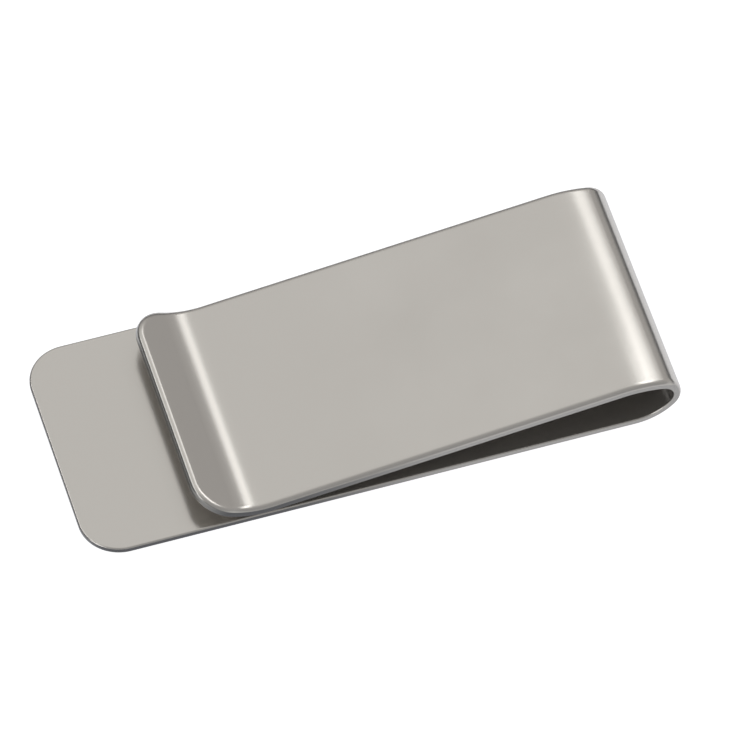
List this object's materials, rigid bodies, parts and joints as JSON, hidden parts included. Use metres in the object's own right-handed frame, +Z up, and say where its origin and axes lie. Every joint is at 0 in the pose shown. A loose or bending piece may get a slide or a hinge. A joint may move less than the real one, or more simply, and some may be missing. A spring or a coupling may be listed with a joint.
{
  "type": "money clip",
  "caption": "Folded strip money clip in satin stainless steel, with a long back plate, a spring fold and a shorter front leaf that ends in a pressure ridge and a flared thumb lip.",
  "frame": {"origin": "centre of the bounding box in plan, at the height of the face that the clip lies on", "axes": "+X along the clip to the nose of the fold, +Y across the strip, +Z up from the back plate to the front leaf"},
  "size_m": [0.061, 0.0254, 0.0064],
  "materials": {
    "satin_steel": "satin, with burnished edges"
  },
  "bodies": {
    "back": {"back_plate": "satin_steel", "heel_curve": "satin_steel", "spring_bend": "satin_steel"},
    "front": {"shoulder_curve": "satin_steel", "front_leaf": "satin_steel", "grip_ridge": "satin_steel", "thumb_lip": "satin_steel"}
  },
  "joints": [
    {"name": "leaf_flex", "type": "hinge", "parent": "back", "child": "front", "pos_m": [0.028, 0, 0.00357], "axis": [0, 1, 0], "range_deg": [0, 10], "stiffness_Nm_per_rad": 12.8, "springref_deg": -1.72, "deforming": ["spring_bend"]}
  ]
}
